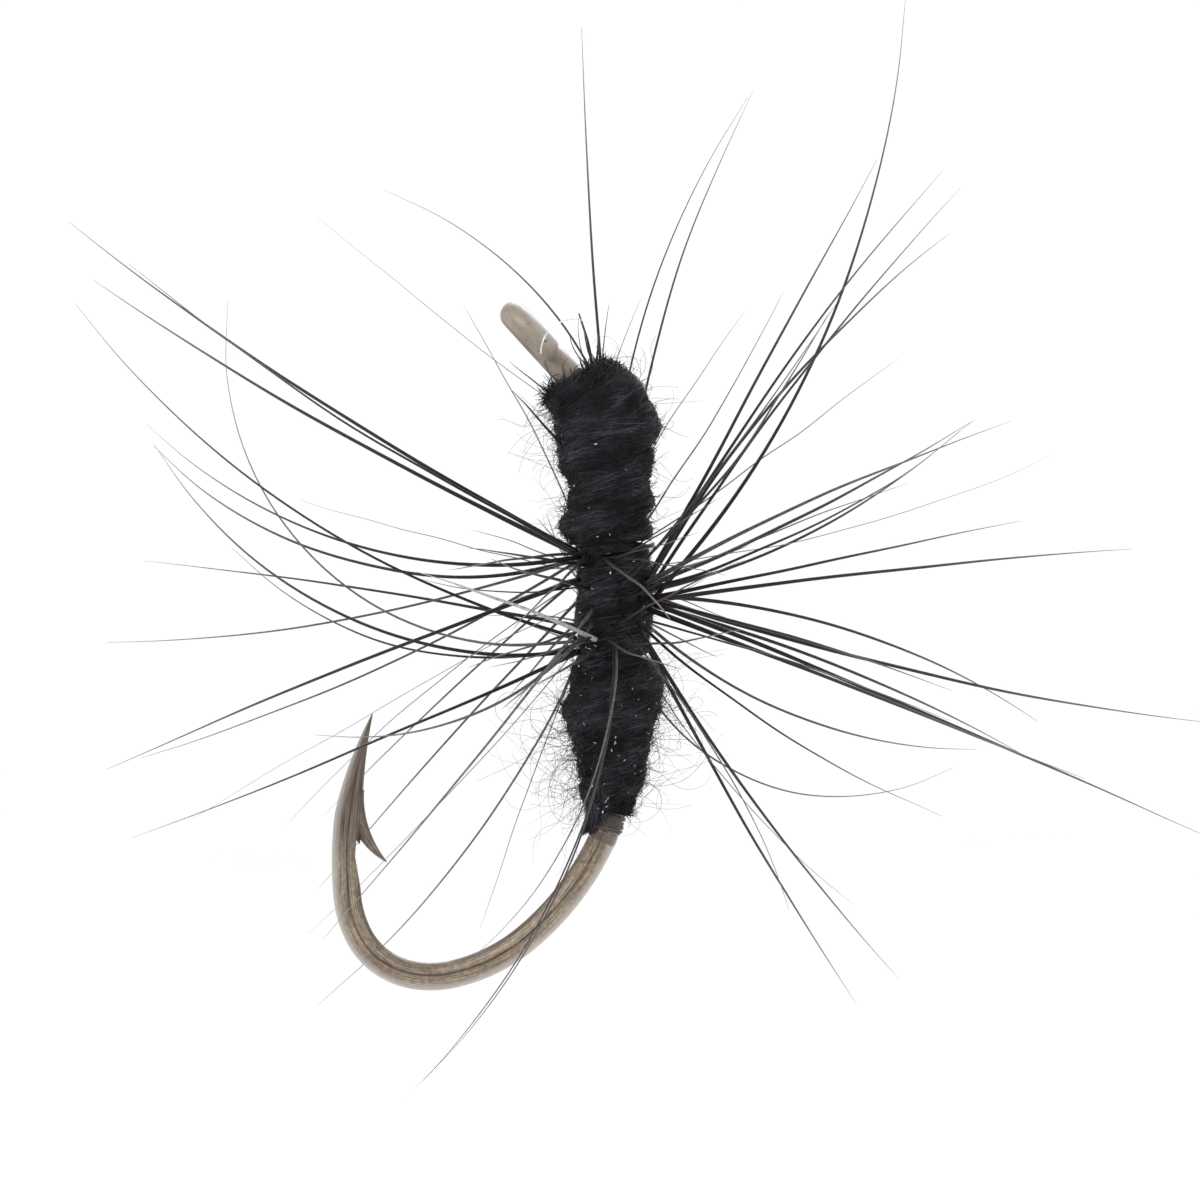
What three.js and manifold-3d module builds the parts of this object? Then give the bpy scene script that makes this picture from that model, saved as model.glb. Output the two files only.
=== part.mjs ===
// A wingless dry fly: a turned-down-eye hook with a body of wound wool and a hackle at its waist.
// Millimetres. The fly hangs from its eye, as it does on a tippet. The origin is the centre of the
// eye's hole, the hook lies in the XZ plane, +Z is up and +X is the side away from the point.
// Headings are degrees from +X toward +Z. Stations are distances along the wire from the neck.
import * as THREE from "three";
import { mergeVertices } from "three/addons/utils/BufferGeometryUtils.js";
import Module from "manifold-3d";

const wasm = await Module();
wasm.setup();

// Hook wire
const WIRE_RADIUS = 0.28;
const WIRE_SIDES = 12;
const DEGREES_PER_STEP = 9;
const EYE_RADIUS = 0.56;
const EYE_HEADING = -47.7;
const EYE_END_ANGLE = 46;
const NECK_TURN = 55;
const HEAD_BEND_RADIUS = 1.5;
const SHANK_HEADING = -86.6;
const SHANK_LENGTH = 7.4;
const BEND_ARCS = [[2.1, 29], [5.7, 24], [3.5, 28], [2.0, 25], [1.5, 50], [2.1, 22]];
const LEG_LENGTH = 1.6;
const LEG_LEAN = 12;
const POINT_LENGTH = 2.13;
const POINT_LEAN = 13;
const POINT_TIP_RADIUS = 0.012;
const POINT_ROUNDNESS = 1.15;
const POINT_STEPS = 7;

// Barb, a thorn lifted from the inner side of the leg, and the notch that was cut under it
const BARB_FROM_TIP = 1.55;
const BARB_LENGTH = 1.64;
const BARB_RADIUS = 0.17;
const BARB_FULLNESS = 2.3;
const BARB_SPLAY_AT_ROOT = 6;
const BARB_SPLAY_AT_TIP = 62;
const BARB_STEPS = 6;
const NOTCH_FROM_TIP = 2.58;
const NOTCH_DEPTH = 0.085;
const NOTCH_LENGTH = 1.0;
const NOTCH_OPENING = 0.55;
const NOTCH_RISE = 0.155;

// Thread, cement and clearances. Everything is wound the same way, rising to the right on the near side.
const WINDING_HAND = -1;
const CLEARANCE = 0.02;
const THREAD_RADIUS = 0.03;
const THREAD_SIDES = 4;
const THREAD_BASE = { start: 0.55, end: 8.7, turns: 13 };
const HEAD_THREAD = { start: 0.2, end: 0.44, turns: 3 };
const TAIL_THREAD = { start: 8.86, end: 9.2, turns: 4 };
const HEAD_CEMENT = { start: 0.01, end: 0.13, thickness: 0.08 };
const TAIL_CEMENT = { start: 9.27, end: 9.42, thickness: 0.06 };

// Wool body: each winding runs from start to end in turns of one pitch. The outer radius is given
// at stations from head to tail, and BODY_OFFSET is how far the body sits toward the hook's back.
const WOOL_SIDES = 10;
const WOOL_STEPS_PER_TURN = 18;
const WOOL_GAP = 0.03;
const THORAX = {
  start: 0.12,
  end: 3.45,
  pitch: 1.45,
  outer: [[0.12, 0.68], [0.35, 0.86], [1.1, 1.06], [1.9, 0.98], [2.3, 0.84], [2.9, 0.92], [3.45, 0.88]],
};
const WAIST = { start: 3.47, end: 5.77, pitch: 1.15, outer: [[3.47, 0.7], [5.77, 0.7]] };
const ABDOMEN = {
  start: 5.79,
  end: 8.8,
  pitch: 1.35,
  outer: [[5.79, 0.84], [6.6, 0.98], [7.1, 0.93], [7.9, 0.68], [8.4, 0.59], [8.8, 0.46]],
};
const BODY_OFFSET = [[0.1, 0.1], [1.2, 0.38], [2.4, 0.34], [3.7, 0.36], [5.6, 0.27], [6.7, 0.16], [8.4, 0]];

// Hackle: one feather stem wound round the waist, with its fibres standing out
const QUILL = { start: 3.54, end: 5.68, turns: 5, radius: 0.05, sides: 6 };
const QUILL_BUTT = { station: 0.2, heading: 95, length: 1.15, radius: 0.065, reach: 0.43 };
const FIBRE_SIDES = 5;
const FIBRE_STEPS = 8;
const FIBRE_TIP_RADIUS = 0.012;

// Each fibre: place along the quill (0 eye end, 1 bend end), heading at root and tip,
// depth at root and tip (degrees from the XZ plane toward +Y), length, root radius.
const UPRIGHT_FIBRES = [
  [0.25, 94, 93, 62, 0, 12.4, 0.05],
  [0.3, 95, 57, 58, 14, 12.0, 0.04],
  [0.32, 88, 63, 62, 8, 11.9, 0.05],
  [0.2, 78, 159, 62, 34, 13.5, 0.04],
  [0.3, 60, 62, 26, 20, 10.4, 0.055],
  [0.45, 49, 86, 6, 4, 13.2, 0.05],
  [0.3, 60, 48, -26, -22, 10.8, 0.05],
  [0.35, 58, 46, -18, -20, 10.5, 0.05],
  [0.38, 60, 38, 30, 26, 10.6, 0.05],
];
const RIGHT_FIBRES = [
  [0.36, 30, 19, -42, -38, 10.2, 0.055],
  [0.38, 23, 30, 44, 40, 10.0, 0.055],
  [0.42, 14, 40, -48, -40, 10.0, 0.05],
  [0.44, 12, 42, 44, 40, 9.6, 0.045],
  [0.5, 11, 12, -44, -42, 10.2, 0.055],
  [0.52, 9, 3, 24, 20, 10.4, 0.055],
  [0.48, -2, -34, 38, 34, 10.2, 0.05],
  [0.5, -11, -22, -52, -48, 9.8, 0.05],
  [0.52, -19, -6, -12, -8, 11.5, 0.055],
  [0.56, -14, -30, 38, 34, 10.2, 0.055],
  [0.58, -21, -24, 8, 8, 12.0, 0.06],
  [0.62, -20, -22, -32, -28, 10.5, 0.06],
  [0.7, -42, 0, 44, 40, 10.0, 0.045],
  [0.74, -44, -22, -44, -40, 9.5, 0.035],
];
const LOWER_FIBRES = [
  [0.84, -75, 28, 36, 26, 9.3, 0.035],
  [0.8, -59, -48, -34, -30, 10.0, 0.05],
  [0.82, -62, -57, 32, 28, 10.0, 0.05],
  [0.86, -90, -138, -62, 8, 12.0, 0.045],
  [0.95, -88, -136, -60, -8, 11.0, 0.045],
  [0.9, -84, -142, -64, -28, 10.0, 0.04],
  [0.76, -112, -139, 30, 22, 10.4, 0.04],
  [0.6, -128, -131, -46, -38, 11.0, 0.045],
  [0.4, -134, -130, 42, 34, 10.2, 0.045],
  [0.2, -140, -134, 46, 42, 10.0, 0.045],
];
const LEFT_FIBRES = [
  [0.97, 204, 201, -26, -22, 10.4, 0.055],
  [0.72, 232, 172, -48, -42, 8.6, 0.045],
  [0.3, 200, 204, -26, -22, 11.0, 0.055],
  [0.12, 213, 196, 28, 22, 10.6, 0.045],
  [0.1, 200, 180, 28, 22, 10.5, 0.045],
  [0.9, 195, 135, 38, 34, 9.4, 0.035],
  [0.82, 165, 127, -14, -10, 12.4, 0.045],
  [0.08, 190, 136, -32, -28, 10.6, 0.05],
  [0.1, 195, 135, 30, 26, 10.4, 0.05],
  [0.95, 188, 120, -24, -20, 10.6, 0.05],
  [0.86, 188, 83, 20, 16, 11.8, 0.045],
  [0.72, 168, 175, 32, 28, 10.2, 0.05],
  [0, 151, 142, -12, -8, 12.1, 0.06],
  [0.02, 156, 145, 16, 12, 11.4, 0.06],
  [0, 155, 140, -20, -16, 11.0, 0.035],
  [0.85, 155, 163, -60, -56, 7.0, 0.06],
];

const radians = THREE.MathUtils.degToRad;
const lerp = THREE.MathUtils.lerp;

// Materials
const bronze = new THREE.MeshStandardMaterial({ color: 0x9c8f7f, roughness: 0.35, metalness: 0.9 });
const blackThread = new THREE.MeshStandardMaterial({ color: 0x1c1b1d, roughness: 0.6, metalness: 0 });
const blackWool = new THREE.MeshStandardMaterial({ color: 0x232429, roughness: 0.95, metalness: 0 });
const blackFeather = new THREE.MeshStandardMaterial({ color: 0x241d1b, roughness: 0.4, metalness: 0 });
const brownCement = new THREE.MeshStandardMaterial({ color: 0x6b4526, roughness: 0.25, metalness: 0 });

// Smoothly blends the value in a table of [station, value] rows.
function blend(table, station) {
  const next = table.findIndex((row) => row[0] >= station);
  if (next === -1) {
    return table[table.length - 1][1];
  }
  if (next === 0) {
    return table[0][1];
  }
  const [before, after] = [table[next - 1], table[next]];
  const share = THREE.MathUtils.smoothstep(station, before[0], after[0]);
  return lerp(before[1], after[1], share);
}

// Makes a closed solid from rings of points; each end closes on a point.
function skin(rings, firstPoint, lastPoint) {
  const sides = rings[0].length;
  const points = [...rings.flat(), firstPoint, lastPoint];
  const firstIndex = points.length - 2;
  const lastIndex = points.length - 1;
  const lastRing = (rings.length - 1) * sides;
  const faces = [];
  for (let side = 0; side < sides; side++) {
    const next = (side + 1) % sides;
    for (let ring = 0; ring < lastRing; ring += sides) {
      faces.push([ring + side, ring + next, ring + sides + side]);
      faces.push([ring + next, ring + sides + next, ring + sides + side]);
    }
    faces.push([firstIndex, next, side]);
    faces.push([lastIndex, lastRing + side, lastRing + next]);
  }
  const volume = faces.reduce((sum, [a, b, c]) => {
    return sum + points[a].dot(points[b].clone().cross(points[c]));
  }, 0);
  const outward = volume > 0 ? faces : faces.map(([a, b, c]) => [a, c, b]);
  const geometry = new THREE.BufferGeometry().setFromPoints(points);
  geometry.setIndex(outward.flat());
  geometry.computeVertexNormals();
  return geometry;
}

function centreOf(ring) {
  const sum = ring.reduce((total, point) => total.add(point), new THREE.Vector3());
  return sum.divideScalar(ring.length);
}

// Sweeps a round section of changing radius along a line of points, without twist.
function sweep(points, radii, sides, tip) {
  const tangents = points.map((point, index) => {
    const before = points[Math.max(index - 1, 0)];
    const after = points[Math.min(index + 1, points.length - 1)];
    return after.clone().sub(before).normalize();
  });
  const across = new THREE.Vector3(0, 1, 0);
  if (Math.abs(tangents[0].y) > 0.9) {
    across.set(1, 0, 0);
  }
  const rings = points.map((point, index) => {
    const tangent = tangents[index];
    across.addScaledVector(tangent, -across.dot(tangent)).normalize();
    const side = tangent.clone().cross(across);
    return Array.from({ length: sides }, (_, corner) => {
      const angle = (2 * Math.PI * corner) / sides;
      return point
        .clone()
        .addScaledVector(across, radii[index] * Math.cos(angle))
        .addScaledVector(side, radii[index] * Math.sin(angle));
    });
  });
  return skin(rings, centreOf(rings[0]), tip ?? centreOf(rings[rings.length - 1]));
}

function inPlane(heading) {
  return new THREE.Vector3(Math.cos(radians(heading)), 0, Math.sin(radians(heading)));
}

// The wire's route in the XZ plane, as runs of a length and a turn in degrees.
const eyeAxis = inPlane(EYE_HEADING);
const joinAngle = radians(90 - NECK_TURN);
const neckRadius = (EYE_RADIUS * Math.sin(joinAngle)) / (1 - Math.cos(radians(NECK_TURN)));
const neckStart = EYE_RADIUS * Math.cos(joinAngle) + neckRadius * Math.sin(radians(NECK_TURN));
const headTurn = SHANK_HEADING - EYE_HEADING;
const wireRuns = [
  { length: HEAD_BEND_RADIUS * radians(Math.abs(headTurn)), turn: headTurn },
  { length: SHANK_LENGTH, turn: 0 },
  ...BEND_ARCS.map(([radius, turn]) => ({ length: radius * radians(turn), turn: -turn })),
  { length: LEG_LENGTH, turn: -LEG_LEAN },
  { length: POINT_LENGTH, turn: -POINT_LEAN },
];
const wireLength = wireRuns.reduce((sum, run) => sum + run.length, 0);
const legStation = wireLength - POINT_LENGTH;

// The centre of the wire, its heading and the direction toward its back, at a station.
function wireAt(station) {
  const place = eyeAxis.clone().multiplyScalar(neckStart);
  let heading = EYE_HEADING;
  let left = station;
  for (const run of wireRuns) {
    const length = run === wireRuns[wireRuns.length - 1] ? left : Math.min(left, run.length);
    const turn = (run.turn * length) / run.length;
    const chord = turn === 0 ? length : (length * Math.sin(radians(turn) / 2)) / (radians(turn) / 2);
    place.addScaledVector(inPlane(heading + turn / 2), chord);
    heading += turn;
    left -= length;
    if (left <= 0) {
      break;
    }
  }
  return { place, heading, back: inPlane(heading + 90) };
}

// A point at an angle round the wire, measured from its back toward the far side.
function aroundWire(station, angle, distance) {
  const { place, back } = wireAt(station);
  return place
    .addScaledVector(back, distance * Math.cos(angle))
    .addScaledVector(new THREE.Vector3(0, 1, 0), distance * Math.sin(angle));
}

function solidOf(geometry) {
  const bare = geometry.clone();
  bare.deleteAttribute("normal");
  const merged = mergeVertices(bare, 1e-5);
  const vertProperties = new Float32Array(merged.attributes.position.array);
  const triVerts = new Uint32Array(merged.index.array);
  return new wasm.Manifold(new wasm.Mesh({ numProp: 3, vertProperties, triVerts }));
}

function geometryOf(solid) {
  const mesh = solid.getMesh();
  const geometry = new THREE.BufferGeometry();
  geometry.setAttribute("position", new THREE.BufferAttribute(mesh.vertProperties, 3));
  geometry.setIndex(new THREE.BufferAttribute(mesh.triVerts, 1));
  geometry.computeVertexNormals();
  return geometry;
}

// The eye is one loop of the wire, square to the hook's plane, ending beside its own neck.
function eyeLoopPoints() {
  const points = [];
  const loopStart = Math.PI * 2 - radians(EYE_END_ANGLE);
  const loopSteps = 20;
  for (let step = 0; step <= loopSteps; step++) {
    const angle = lerp(loopStart, joinAngle, step / loopSteps);
    points.push([EYE_RADIUS * Math.cos(angle), EYE_RADIUS * Math.sin(angle)]);
  }
  const neckSteps = 4;
  for (let step = neckSteps - 1; step > 0; step--) {
    const turn = (radians(NECK_TURN) * step) / neckSteps;
    points.push([neckStart - neckRadius * Math.sin(turn), neckRadius * (1 - Math.cos(turn))]);
  }
  return points.map(([along, side]) => {
    return eyeAxis.clone().multiplyScalar(along).add(new THREE.Vector3(0, side, 0));
  });
}

function wireStations() {
  const stations = [0];
  let runStart = 0;
  for (const run of wireRuns) {
    const isPoint = run === wireRuns[wireRuns.length - 1];
    const steps = isPoint ? POINT_STEPS : Math.max(1, Math.ceil(Math.abs(run.turn) / DEGREES_PER_STEP));
    for (let step = 1; step <= steps; step++) {
      stations.push(runStart + (run.length * step) / steps);
    }
    runStart += run.length;
  }
  return stations;
}

function wireRadiusAt(station) {
  const share = Math.max(0, (station - legStation) / POINT_LENGTH);
  return lerp(WIRE_RADIUS, POINT_TIP_RADIUS, Math.pow(share, POINT_ROUNDNESS));
}

// The thorn leaves the leg below the point and curves away from it, back toward the bend.
function barbSolid() {
  const station = wireLength - BARB_FROM_TIP;
  const { place, heading, back } = wireAt(station);
  place.addScaledVector(back, BARB_RADIUS - CLEARANCE - wireRadiusAt(station));
  const points = [];
  const radii = [];
  for (let step = 0; step <= BARB_STEPS; step++) {
    const share = step / BARB_STEPS;
    const splay = lerp(BARB_SPLAY_AT_ROOT, BARB_SPLAY_AT_TIP, share);
    points.push(place.clone());
    radii.push(lerp(BARB_RADIUS, POINT_TIP_RADIUS, Math.pow(share, BARB_FULLNESS)));
    place.addScaledVector(inPlane(heading + 180 + splay), BARB_LENGTH / BARB_STEPS);
  }
  return solidOf(sweep(points, radii, WIRE_SIDES));
}

// The wedge of air between the thorn and the leg, as a prism across the wire.
function notchSolid() {
  const { place, heading, back } = wireAt(wireLength - NOTCH_FROM_TIP);
  place.addScaledVector(back, NOTCH_DEPTH - WIRE_RADIUS);
  const outline = new THREE.Shape();
  outline.moveTo(0, 0);
  outline.lineTo(NOTCH_LENGTH / 3, 0);
  outline.lineTo(NOTCH_LENGTH, NOTCH_RISE);
  outline.lineTo(NOTCH_LENGTH, NOTCH_OPENING);
  outline.lineTo(NOTCH_OPENING, NOTCH_OPENING);
  const prism = new THREE.ExtrudeGeometry(outline, { depth: 4 * WIRE_RADIUS, bevelEnabled: false });
  const along = inPlane(heading + 180);
  const inward = back.clone().negate();
  const axes = new THREE.Matrix4().makeBasis(along, inward, along.clone().cross(inward));
  prism.translate(0, 0, -2 * WIRE_RADIUS);
  prism.applyMatrix4(axes.setPosition(place));
  prism.deleteAttribute("uv");
  return solidOf(prism);
}

function hookGeometry() {
  const stations = wireStations();
  const points = [...eyeLoopPoints(), ...stations.map((station) => wireAt(station).place)];
  const loopCount = points.length - stations.length;
  const radii = points.map((_, index) => {
    return index < loopCount ? WIRE_RADIUS : wireRadiusAt(stations[index - loopCount]);
  });
  const wire = solidOf(sweep(points, radii, WIRE_SIDES));
  return geometryOf(wire.add(barbSolid()).subtract(notchSolid()));
}

// Thread or stem wound round the wire as an open coil.
function coilGeometry(coil, stepsPerTurn, centreDistance, radiusAt, sides, offsetAt) {
  const steps = Math.round(coil.turns * stepsPerTurn);
  const points = [];
  const radii = [];
  for (let step = 0; step <= steps; step++) {
    const share = step / steps;
    const station = lerp(coil.start, coil.end, share);
    const angle = WINDING_HAND * 2 * Math.PI * coil.turns * share;
    const point = aroundWire(station, angle, centreDistance);
    point.addScaledVector(wireAt(station).back, offsetAt(station));
    points.push(point);
    radii.push(radiusAt(share));
  }
  return sweep(points, radii, sides);
}

// A point on a unit outline between a circle and a square.
function roundedBox(angle) {
  const swell = (value) => Math.sign(value) * Math.pow(Math.abs(value), 0.75);
  return [swell(Math.cos(angle)), swell(Math.sin(angle))];
}

function noOffset() {
  return 0;
}

function bodyOffset(station) {
  return blend(BODY_OFFSET, station);
}

const threadDistance = WIRE_RADIUS + CLEARANCE + 1.15 * THREAD_RADIUS;
const woolBore = threadDistance + THREAD_RADIUS + CLEARANCE;

function threadGeometry(coil) {
  return coilGeometry(coil, 12, threadDistance, () => THREAD_RADIUS, THREAD_SIDES, noOffset);
}

// One length of wool wound side by side. The band is a full pitch wide, and is cut off square
// where the winding starts and ends, so its first and last turns run out to a sliver.
function woolGeometry({ start, end, pitch, outer }) {
  const sliver = 2 * WOOL_GAP;
  const turns = (end - start) / pitch + 1;
  const steps = Math.round(turns * WOOL_STEPS_PER_TURN);
  const rings = [];
  for (let step = 0; step <= steps; step++) {
    const turn = lerp(sliver / pitch, turns - sliver / pitch, step / steps);
    const lower = Math.min(end, start + pitch * turn);
    const upper = Math.max(start, start + pitch * (turn - 1));
    const middle = (lower + upper) / 2;
    const halfWidth = (lower - upper - WOOL_GAP) / 2;
    const fullness = Math.sqrt(Math.min(1, (2.2 * halfWidth) / pitch));
    const angle = WINDING_HAND * 2 * Math.PI * turn;
    const reach = blend(outer, middle) + bodyOffset(middle) * Math.cos(angle);
    const thickness = (reach - woolBore) * fullness;
    rings.push(
      Array.from({ length: WOOL_SIDES }, (_, corner) => {
        const [along, lift] = roundedBox((2 * Math.PI * corner) / WOOL_SIDES);
        const distance = woolBore + (thickness * (1 + lift)) / 2;
        return aroundWire(middle + halfWidth * along, angle, distance);
      }),
    );
  }
  return skin(rings, centreOf(rings[0]), centreOf(rings[rings.length - 1]));
}

// A thin collar of hard cement on the wire.
function cementGeometry(collar) {
  const inner = WIRE_RADIUS + CLEARANCE / 2;
  const outline = [
    [0, inner],
    [0, inner + collar.thickness * 0.4],
    [0.5, inner + collar.thickness],
    [1, inner + collar.thickness * 0.4],
    [1, inner],
  ];
  const sides = 20;
  const points = [];
  for (let side = 0; side < sides; side++) {
    const angle = (2 * Math.PI * side) / sides;
    for (const [share, distance] of outline) {
      points.push(aroundWire(lerp(collar.start, collar.end, share), angle, distance));
    }
  }
  const rows = outline.length;
  const faces = [];
  for (let side = 0; side < sides; side++) {
    const nextSide = (side + 1) % sides;
    for (let row = 0; row < rows; row++) {
      const nextRow = (row + 1) % rows;
      const corners = [
        side * rows + row,
        side * rows + nextRow,
        nextSide * rows + nextRow,
        nextSide * rows + row,
      ];
      faces.push(corners[0], corners[1], corners[2], corners[0], corners[2], corners[3]);
    }
  }
  const geometry = new THREE.BufferGeometry().setFromPoints(points);
  geometry.setIndex(faces);
  geometry.computeVertexNormals();
  return geometry;
}

const quillDistance = WAIST.outer[0][1] + CLEARANCE + 1.1 * QUILL.radius;
const fibreRootDistance = quillDistance + QUILL.radius + CLEARANCE;

function quillGeometry() {
  const taper = (share) => lerp(QUILL.radius, QUILL.radius * 0.5, share);
  return coilGeometry(QUILL, 16, quillDistance, taper, QUILL.sides, bodyOffset);
}

function direction(heading, depth) {
  const flat = inPlane(heading).multiplyScalar(Math.cos(radians(depth)));
  return flat.add(new THREE.Vector3(0, Math.sin(radians(depth)), 0));
}

// A fibre leaves the quill on the side that it first points to and bends evenly to its tip.
function fibreGeometry(row) {
  const [place, rootHeading, tipHeading, rootDepth, tipDepth, length, radius] = row;
  const station = lerp(QUILL.start, QUILL.end, place);
  const first = direction(rootHeading, rootDepth);
  const { back } = wireAt(station);
  const angle = Math.atan2(first.y, first.dot(back));
  const point = aroundWire(station, angle, fibreRootDistance + radius);
  point.addScaledVector(back, bodyOffset(station));
  const points = [point.clone()];
  const radii = [radius];
  for (let step = 1; step <= FIBRE_STEPS; step++) {
    const middle = (step - 0.5) / FIBRE_STEPS;
    const heading = lerp(rootHeading, tipHeading, middle);
    const depth = lerp(tipDepth, rootDepth, (1 - middle) ** 2);
    point.addScaledVector(direction(heading, depth), length / FIBRE_STEPS);
    points.push(point.clone());
    radii.push(lerp(radius, FIBRE_TIP_RADIUS, step / FIBRE_STEPS));
  }
  const tip = points.pop();
  radii.pop();
  return sweep(points, radii, FIBRE_SIDES, tip);
}

// The trimmed butt of the feather stem, left standing at the head.
function buttGeometry() {
  const { place, back } = wireAt(QUILL_BUTT.station);
  const root = place.addScaledVector(back, QUILL_BUTT.reach);
  const points = [0, 0.5, 1].map((share) => {
    return root.clone().addScaledVector(inPlane(QUILL_BUTT.heading + 8 * share), QUILL_BUTT.length * share);
  });
  const radii = [QUILL_BUTT.radius, QUILL_BUTT.radius * 0.8, QUILL_BUTT.radius * 0.4];
  return sweep(points, radii, QUILL.sides);
}

const fly = new THREE.Group();

function add(name, geometry, material) {
  const mesh = new THREE.Mesh(geometry, material);
  mesh.name = name;
  fly.add(mesh);
}

add("hook", hookGeometry(), bronze);
add("thread_base", threadGeometry(THREAD_BASE), blackThread);
add("head_thread", threadGeometry(HEAD_THREAD), blackThread);
add("tail_thread", threadGeometry(TAIL_THREAD), blackThread);
add("head_cement", cementGeometry(HEAD_CEMENT), brownCement);
add("tail_cement", cementGeometry(TAIL_CEMENT), brownCement);
add("thorax_wool", woolGeometry(THORAX), blackWool);
add("waist_wool", woolGeometry(WAIST), blackWool);
add("abdomen_wool", woolGeometry(ABDOMEN), blackWool);
add("hackle_quill", quillGeometry(), blackFeather);
add("quill_butt", buttGeometry(), blackFeather);

const fibres = [...UPRIGHT_FIBRES, ...RIGHT_FIBRES, ...LOWER_FIBRES, ...LEFT_FIBRES];
fibres.forEach((row, index) => {
  const number = String(index + 1).padStart(2, "0");
  add(`hackle_fibre_${number}`, fibreGeometry(row), blackFeather);
});

export default fly;
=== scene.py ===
"""The looks of the dry fly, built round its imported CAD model.

Shapes are worked out in millimetres, in the CAD model's own frame, and scaled to metres as each mesh
is made. The wire's route and the windings repeat the CAD model's driving dimensions. The long hackle
fibres follow the centre lines of their CAD nodes.
"""

import math

import bmesh
import bpy
import numpy as np
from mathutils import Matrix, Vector
from mathutils.kdtree import KDTree


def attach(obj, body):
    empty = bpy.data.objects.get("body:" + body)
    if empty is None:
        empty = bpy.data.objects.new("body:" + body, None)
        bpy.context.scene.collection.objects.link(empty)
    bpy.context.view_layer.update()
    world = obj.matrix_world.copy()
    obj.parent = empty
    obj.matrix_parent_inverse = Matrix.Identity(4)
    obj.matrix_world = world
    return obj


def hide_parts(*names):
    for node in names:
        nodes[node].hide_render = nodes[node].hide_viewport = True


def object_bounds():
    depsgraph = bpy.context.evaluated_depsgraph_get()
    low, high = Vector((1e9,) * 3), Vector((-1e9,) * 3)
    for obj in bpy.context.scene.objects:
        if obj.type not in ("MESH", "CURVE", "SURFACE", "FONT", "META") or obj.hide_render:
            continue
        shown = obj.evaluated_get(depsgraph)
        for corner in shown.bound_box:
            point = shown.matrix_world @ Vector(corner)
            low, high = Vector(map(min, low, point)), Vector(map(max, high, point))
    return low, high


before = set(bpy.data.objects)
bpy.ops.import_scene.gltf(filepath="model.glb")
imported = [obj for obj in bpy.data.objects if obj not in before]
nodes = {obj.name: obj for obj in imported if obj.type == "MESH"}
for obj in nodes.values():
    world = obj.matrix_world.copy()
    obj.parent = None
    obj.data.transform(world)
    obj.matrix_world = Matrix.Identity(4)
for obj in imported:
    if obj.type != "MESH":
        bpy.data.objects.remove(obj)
cad_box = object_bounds()
random = np.random.default_rng(41)

MM = 0.001
FAR = np.array([0.0, 1.0, 0.0])

# Hook wire, as in the CAD model
WIRE_RADIUS = 0.28
EYE_RADIUS = 0.56
EYE_HEADING = -47.7
EYE_END_ANGLE = 46
NECK_TURN = 55
HEAD_BEND_RADIUS = 1.5
SHANK_HEADING = -86.6
SHANK_LENGTH = 7.4
BEND_ARCS = [(2.1, 29), (5.7, 24), (3.5, 28), (2.0, 25), (1.5, 50), (2.1, 22)]
LEG = (1.6, 12)
POINT = (2.13, 13)
POINT_TIP_RADIUS = 0.012
POINT_ROUNDNESS = 1.15

# Barb and the notch under it, as in the CAD model
BARB_FROM_TIP = 1.55
BARB_LENGTH = 1.64
BARB_RADIUS = 0.17
BARB_FULLNESS = 2.3
BARB_SPLAY = (6, 62)
NOTCH_FROM_TIP = 2.58
NOTCH_DEPTH = 0.085
NOTCH_LENGTH = 1.0
NOTCH_OPENING = 0.55
NOTCH_RISE = 0.155

# How finely the hook is drawn, and where its look changes
HOOK_SAMPLES = 420
HOOK_SIDES = 48
THORN_SAMPLES = 31
THORN_SIDES = 36
SHARP_EDGE = 38
DARK_POINT_FROM_TIP = 3.1
DARK_POINT_FADE = 0.8

# Windings, as in the CAD model; stations are distances along the wire from the eye's neck
CLEARANCE = 0.02
WOOL_BORE = 0.38
HEAD_THREAD = (0.2, 0.44)
TAIL_THREAD = (8.86, 9.2)
HEAD_CEMENT = (0.01, 0.13, 0.08)
TAIL_CEMENT = (9.27, 9.42, 0.06)
WINDING_HAND = -1
WINDINGS = {
    "thorax_wool": {
        "span": (0.12, 3.45),
        "pitch": 1.45,
        "outer": [
            (0.12, 0.72), (0.35, 0.84), (0.7, 0.95), (1.1, 1.04), (1.5, 0.99),
            (1.9, 0.93), (2.28, 0.8), (2.7, 0.88), (3.1, 0.95), (3.45, 0.84),
        ],
        "offset": [
            (0.12, 0.06), (0.7, 0.25), (1.2, 0.37), (1.9, 0.3), (2.7, 0.31), (3.0, 0.19), (3.45, 0.28),
        ],
    },
    "waist_wool": {
        "span": (3.47, 5.77),
        "pitch": 1.15,
        "outer": [(3.47, 0.7), (5.77, 0.7)],
        "offset": [(3.47, 0.36), (3.7, 0.36), (5.6, 0.27), (5.77, 0.26)],
    },
    "abdomen_wool": {
        "span": (5.79, 8.85),
        "pitch": 1.35,
        "outer": [
            (5.79, 0.82), (6.3, 0.91), (6.7, 0.98), (7.1, 0.92), (7.5, 0.79), (7.9, 0.66), (8.3, 0.59),
            (8.7, 0.46), (8.85, 0.41),
        ],
        "offset": [(5.79, 0.24), (6.3, 0.26), (6.7, 0.14), (7.1, 0.18), (7.9, 0.06), (8.85, -0.05)],
    },
}
QUILL = (3.54, 5.68)
QUILL_TURNS = 5
QUILL_RADIUS = 0.05
QUILL_DISTANCE = 0.775


# ---- the wire's route

def heading_vector(heading):
    """A unit vector in the hook's plane, or one for each heading given in degrees."""
    angle = np.radians(heading)
    return np.stack([np.cos(angle), np.zeros_like(angle), np.sin(angle)], axis=-1)


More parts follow.
